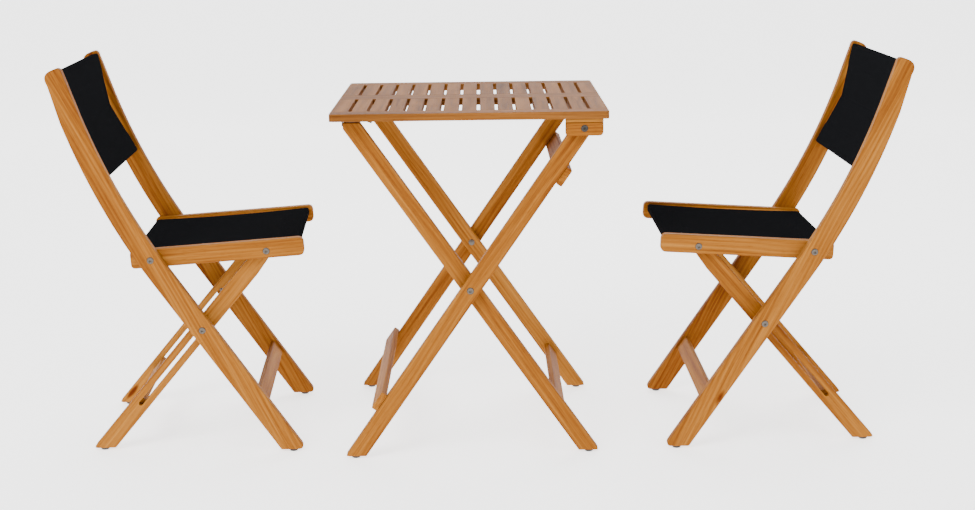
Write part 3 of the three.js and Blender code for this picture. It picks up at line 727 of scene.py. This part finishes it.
def leg_at(along, across):
    """A point down the rear leg from its bolt, and across it towards the front."""
    return leg_bolt + down * along + aside * across


def rear_leg_outline():
    """A round end of 13.5 mm on the bolt, full width 52 mm below it, and a level foot."""
    start = math.atan2(aside[1], aside[0])
    foot = [leg_at(0, a) + down * (glide_tall - leg_at(0, a)[1]) / down[1] for a in (-18, 18)]
    eased = rounded([(*leg_at(52, -18), 1), (*foot[0], 5), (*foot[1], 5), (*leg_at(52, 18), 1)])[6:18]
    end = arc(*leg_bolt, 13.5, start, start + math.pi, 18)
    return np.concatenate([end, [leg_at(52, -18)], eased, [leg_at(52, 18)]])


def slot_outline():
    """A slot 8.4 mm wide with a round end about each end of the bolt's travel."""
    start = math.atan2(aside[1], aside[0])
    ends = [(leg_at(slot_start, 0), start), (leg_at(slot_start + slot_run, 0), start + math.pi)]
    return np.concatenate([arc(*at, 4.2, turn, turn + math.pi, 10) for at, turn in ends])


rail_ends, rail_half = (-44, 313), 19
rail_corners = [
    (rail_ends[0], -rail_half, 9), (rail_ends[1], -rail_half, 12),
    (rail_ends[1], rail_half, 12), (rail_ends[0], rail_half, 9)]
rail_outline = rounded([(*seat_at(along, rise), corner) for along, rise, corner in rail_corners])

# ---- Chairs: crossbars ----
# Flat bars housed 8 mm into the boards they join. The slings hang on the bars of the seat and the back.
bar_thick, sling_thick, clear = 13, 2, 0.3
wall = sling_thick + clear
sling_top = post_top + up(back_lean) * -13.9 + np.array([math.cos(back_lean), math.sin(back_lean)]) * 21.4
sling_low = post_top + up(back_lean) * -247.3 + np.array([math.cos(back_lean), math.sin(back_lean)]) * 22.3


def behind(way):
    """The direction a quarter turn to the left."""
    return np.array([-way[1], way[0]])


chord = (sling_top - sling_low) / np.linalg.norm(sling_top - sling_low)
crease = (sling_top + sling_low) / 2 + behind(chord) * 17
upper_way = (sling_top - crease) / np.linalg.norm(sling_top - crease)
lower_way = (crease - sling_low) / np.linalg.norm(crease - sling_low)


def lean_of(way):
    return math.atan2(-way[0], way[1])


def back_bar(end, way, inward):
    """The middle and lean of a bar behind one end of the back's cloth."""
    at = end + way * inward * (17 + wall) + behind(way) * (bar_thick / 2 + wall)
    return (*at, lean_of(way))


def post_place(along, out):
    """The middle and lean of a bar at a distance up the post, and in front of its axis."""
    z = along * math.cos(post_lean)
    x = post_foot - z * math.tan(post_lean)
    return (x + out * math.cos(post_lean), z + out * math.sin(post_lean), post_lean)


seat_rise = rail_half - 4
bar_rise = seat_rise - wall - bar_thick / 2
seat_bar = lambda along: (*seat_at(along, bar_rise), tilt - math.pi / 2)
crossbars = [
    ("back_top_bar", back_bar(sling_top, upper_way, -1), 34, post_in),
    ("back_bottom_bar", back_bar(sling_low, lower_way, 1), 34, post_in),
    ("front_stretcher", post_place(132, 10), 34, post_in),
    ("seat_front_bar", seat_bar(285), 34, rail_in),
    ("seat_rear_bar", seat_bar(-25.5), 27, rail_in),
    ("rear_stretcher", (*leg_at(slot_start + slot_run + 8, 0), lean_of(down)), 34, leg_in),
]

# ---- Chairs: slings ----
# One black coated mesh cloth for each seat and back, turned round a bar at each end and sewn to itself
# in a double seam. The back has a pressed crease across its middle.
mesh_cloth = Finish("black_mesh_cloth", specular_ior_level=0.0)
weave = mesh_cloth.node("ShaderNodeAttribute", {"attribute_name": "weave"}, {}, 1)
run, wide = weave.part(0), weave.part(1)
rib_gap, pick_gap = 0.0042, 0.0021
rib = (wide * (math.tau / rib_gap)).sine() * 0.5 + 0.5
pick = (run * (math.tau / pick_gap)).sine() * 0.5 + 0.5
hole = ((1 - rib) * (1 - pick)).step(0.25, 0.8)
patch = weave.noise((9, 9, 1), 3.0)
seam = weave.part(2)
thread = mesh_cloth.mix(rib, (0.0014, 0.0015, 0.0018, 1), (0.0120, 0.0125, 0.0140, 1))
mesh_cloth.set(
    base_color=mesh_cloth.mix(hole * 0.8, thread, (0.0005, 0.0005, 0.0006, 1)),
    roughness=0.78 + (patch - 0.5) * 0.25 + hole * 0.2)
mesh_cloth.bump(rib * 0.6 + pick * 0.4 - seam * 3.0, 0.45, 0.0005)


def sling(node, line, widths, half, sag, place):
    """A cloth that follows a line of points in (x, z), turned back round a bar behind each end.

    Its path runs from one hem round that bar, along the line and round the other bar to the other hem.
    Each point of the path is spread along y, drawn in towards the middle of the span and lowered by sag
    times a parabola, and a second layer 1.2 mm behind closes the cloth."""
    line = np.array(line)
    first = (line[1] - line[0]) / np.linalg.norm(line[1] - line[0])
    last = (line[-1] - line[-2]) / np.linalg.norm(line[-1] - line[-2])
    deep, thick = bar_thick + 2 * wall, 1.2
    w0, w1 = (w + 2 * wall for w in widths)
    at = lambda point, way, along, back: point + way * along + behind(way) * back
    hem, under = 12, 2.9
    corners = [
        (at(line[0], first, w0 + hem, under), 0), (at(line[0], first, w0, under), 1.4),
        (at(line[0], first, w0, deep), 5), (at(line[0], first, 0, deep), 5),
        (line[0], 5), *[(p, 14) for p in line[1:-1]], (line[-1], 5),
        (at(line[-1], last, 0, deep), 5), (at(line[-1], last, -w1, deep), 5),
        (at(line[-1], last, -w1, under), 1.4), (at(line[-1], last, -w1 - hem, under), 0),
    ]
    path = [corners[0][0][None]]
    for (a, _), (b, r), (c, _) in zip(corners, corners[1:], corners[2:]):
        ba, bc = (a - b) / np.linalg.norm(a - b), (c - b) / np.linalg.norm(c - b)
        reach = r / math.tan(math.acos(np.clip(ba @ bc, -1, 1)) / 2)
        t = np.linspace(0, 1, 7)[:, None]
        path.append((1 - t) ** 2 * (b + ba * reach) + 2 * t * (1 - t) * b + t**2 * (b + bc * reach))
    path.append(corners[-1][0][None])
    path = np.concatenate(path)
    step = np.linalg.norm(np.diff(path, axis=0), axis=1)
    cuts = [np.linspace(p, q, max(2, int(d / 7) + 1))[:-1] for p, q, d in zip(path, path[1:], step)]
    path = np.concatenate(cuts + [path[-1:]])
    edge = np.gradient(path, axis=0)
    way = edge / np.linalg.norm(edge, axis=1)[:, None]
    left = np.stack([-way[:, 1], way[:, 0]], -1)
    run_at = np.concatenate([[0], np.cumsum(np.linalg.norm(np.diff(path, axis=0), axis=1))])
    face = np.linalg.norm(line[-1] - line[0])
    share = np.clip(((path - line[0]) @ (line[-1] - line[0])) / face**2, 0, 1)
    outer = ((path - line[0]) @ behind((line[-1] - line[0]) / face) < 2.4) | ((share > 0.2) & (share < 0.8))
    low = np.where(outer, 4 * share * (1 - share), 0)
    across = np.linspace(-1, 1, 41)
    spread = (half - 2.5 * low[:, None]) * across[None]
    give = low[:, None] * sag * (1 - 0.35 * across[None] ** 2)
    layers = []
    for back in (0, thick):
        at_xz = path[:, None] + left[:, None] * (back + give[..., None])
        layers.append(np.stack([at_xz[..., 0], spread, at_xz[..., 1]], -1))
    rows, columns = spread.shape
    points = np.concatenate([layer.reshape(-1, 3) for layer in layers]) * MM
    count = rows * columns
    index = np.arange(count).reshape(rows, columns)
    sheet_faces = grid_faces(rows, columns)
    rims = []
    edges_of = [(index[:, 0], False), (index[:, -1], True), (index[0], True), (index[-1], False)]
    for loop, turned_round in edges_of:
        quad = np.stack([loop[:-1], loop[1:], loop[1:] + count, loop[:-1] + count], -1)
        rims.append(quad[:, ::-1] if turned_round else quad)
    faces = np.concatenate([sheet_faces, sheet_faces[:, ::-1] + count, *rims])[:, ::-1]
    stitched = np.zeros(len(path))
    for end, way_in, wide_end in [(line[0], first, w0), (line[-1], -last, w1)]:
        reach_in = (path - end) @ way_in
        for row_at in (wide_end + 1, wide_end + 8):
            stitched = np.maximum(stitched, np.where(outer, np.exp(-(((reach_in - row_at) / 1.6) ** 2)), 0))
    weave_at = np.stack([
        np.broadcast_to(run_at[:, None] * MM, spread.shape), spread * MM,
        np.broadcast_to(stitched[:, None], spread.shape)], -1).reshape(-1, 3)
    both_layers = [("weave", np.concatenate([weave_at, weave_at]))]
    made = mesh_object(
        "cloth_" + node, placed(points, place), faces.tolist(), mesh_cloth.material, both_layers, 50)
    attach(made, frame["nodes"][node]["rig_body"])
    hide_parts(node)
    2 * half * MM
    return made


seat_line = [seat_at(285 + 17 + wall, seat_rise), seat_at(-25.5 - 13.5 - wall, seat_rise)]
chair_turns = {"left": 2.6, "right": 180.0}
post_grain, housed = math.radians(27), 8
for chair in ("left", "right"):
    hinge = next(j for j in frame["joints"] if j["name"] == f"{chair}_chair_seat_fold")
    place = lean_place(hinge["pos_m"][0], hinge["pos_m"][1], 0, chair_turns[chair])
    facing = 1 if chair == "left" else -1
    bodies = {part: f"{chair}_chair_{part}" for part in ("frame", "seat", "rear_legs")}
    for side in (-1, 1):
        name = NEAR_FAR[side * facing]
        board(
            f"{chair}_chair_post_{name}", post_outline(), *span(side, post_out, post_in),
            tuple(up(post_grain)), place, 2.6, [bore(0, seat_high), bore(*slot_bolt)])
        board(
            f"{chair}_chair_seat_rail_{name}", rail_outline, *span(side, rail_out, rail_in),
            (math.cos(tilt), math.sin(tilt)), place, 2.4, [bore(0, seat_high), bore(*leg_bolt)])
        board(
            f"{chair}_chair_rear_leg_{name}", rear_leg_outline(), *span(side, leg_out, leg_in),
            tuple(down), place, 2.2, [bore(*leg_bolt), slot_outline()])
        bolt(
            f"bolt_{chair}_seat_{name}", bodies["frame"], 0, seat_high, side * post_out, side * rail_in,
            place, node=f"{chair}_chair_seat_bolt_{name}")
        bolt(f"bolt_{chair}_leg_{name}", bodies["seat"], *leg_bolt, side * rail_out, side * leg_in, place)
        bolt(
            f"bolt_{chair}_slot_{name}", bodies["frame"], *slot_bolt, side * post_out, side * leg_in,
            place, sleeve=(post_in, leg_out), nut=3.9)
        glide_x = post_foot - glide_tall * math.tan(post_lean)
        glide(f"{chair}_chair_post_glide_{name}", glide_x, side * (post_out + post_in) / 2, place)
        glide_x = leg_at(leg_length, 0)[0]
        glide(f"{chair}_chair_rear_glide_{name}", glide_x, side * (leg_out + leg_in) / 2, place)
    for part, (x, z, lean), width, inner in crossbars:
        section = leaning(x, z, lean, width, bar_thick, 3)
        half_span = inner + housed
        board(f"{chair}_chair_{part}", section, -half_span, half_span, (0, 1, 0), place, 1.0)
    sling(f"{chair}_chair_seat_sling", seat_line, (34, 27), rail_in - 3, 4.0, place)
    back_line = [sling_low, crease, sling_top]
    sling(f"{chair}_chair_back_sling", back_line, (34, 34), post_in - 3, 1.5, place)
